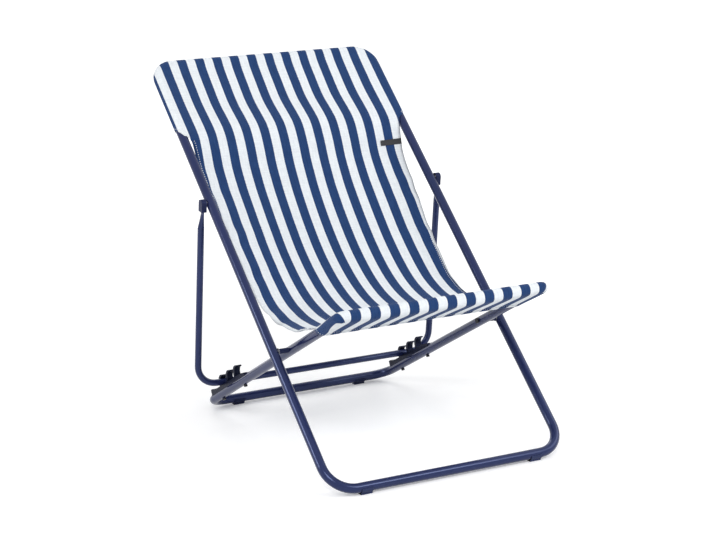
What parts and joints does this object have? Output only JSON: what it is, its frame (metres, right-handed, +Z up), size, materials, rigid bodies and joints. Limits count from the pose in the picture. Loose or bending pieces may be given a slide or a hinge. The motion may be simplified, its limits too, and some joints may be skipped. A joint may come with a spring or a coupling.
{
  "type": "folding deck chair",
  "caption": "Folding deck chair of two crossed steel tube loops with a striped canvas sling, held open by a hinged prop that hooks into racks.",
  "frame": {"origin": "on the floor under the middle of the chair's box", "axes": "+X to the right of a viewer who faces the chair's front, +Y to the back, +Z up"},
  "size_m": [0.651, 0.9234, 0.8389],
  "materials": {
    "navy_tube": "semi-gloss",
    "black_plastic": "satin",
    "dark_steel": "blackened",
    "zinc_steel": "zinc plated",
    "striped_canvas": "woven",
    "label_cloth": "woven"
  },
  "bodies": {
    "outer_frame": {"outer_frame_tube": "navy_tube", "pivot_bolt_left": "dark_steel", "pivot_bolt_right": "dark_steel", "pivot_spacer_left": "black_plastic", "pivot_spacer_right": "black_plastic", "pivot_insert_left": "zinc_steel", "pivot_insert_right": "zinc_steel", "prop_bolt_left": "dark_steel", "prop_bolt_right": "dark_steel", "prop_insert_left": "zinc_steel", "prop_insert_right": "zinc_steel", "front_foot_left": "black_plastic", "front_foot_right": "black_plastic", "canvas_head_hood": "striped_canvas", "canvas_sling": "striped_canvas", "canvas_label": "label_cloth"},
    "inner_frame": {"inner_frame_tube": "navy_tube", "rear_foot_left": "black_plastic", "rear_foot_right": "black_plastic", "rack_left": "black_plastic", "rack_right": "black_plastic", "rack_screws_left": "dark_steel", "rack_screws_right": "dark_steel", "canvas_seat_hood": "striped_canvas"},
    "prop": {"prop_tube": "navy_tube", "prop_end_cap_left": "black_plastic", "prop_end_cap_right": "black_plastic"}
  },
  "joints": [
    {"name": "frame_fold", "type": "hinge", "parent": "outer_frame", "child": "inner_frame", "pos_m": [0, -0.17809, 0.25967], "axis": [1, 0, 0], "range_deg": [0, 69.7], "deforming": ["canvas_sling", "canvas_label"]},
    {"name": "prop_swing", "type": "hinge", "parent": "outer_frame", "child": "prop", "pos_m": [0, 0.13728, 0.54457], "axis": [1, 0, 0], "range_deg": [0, 125.05]}
  ],
  "couplings": [
    {"joint": "prop_swing", "follows": "frame_fold", "ratio": 1.7934}
  ]
}
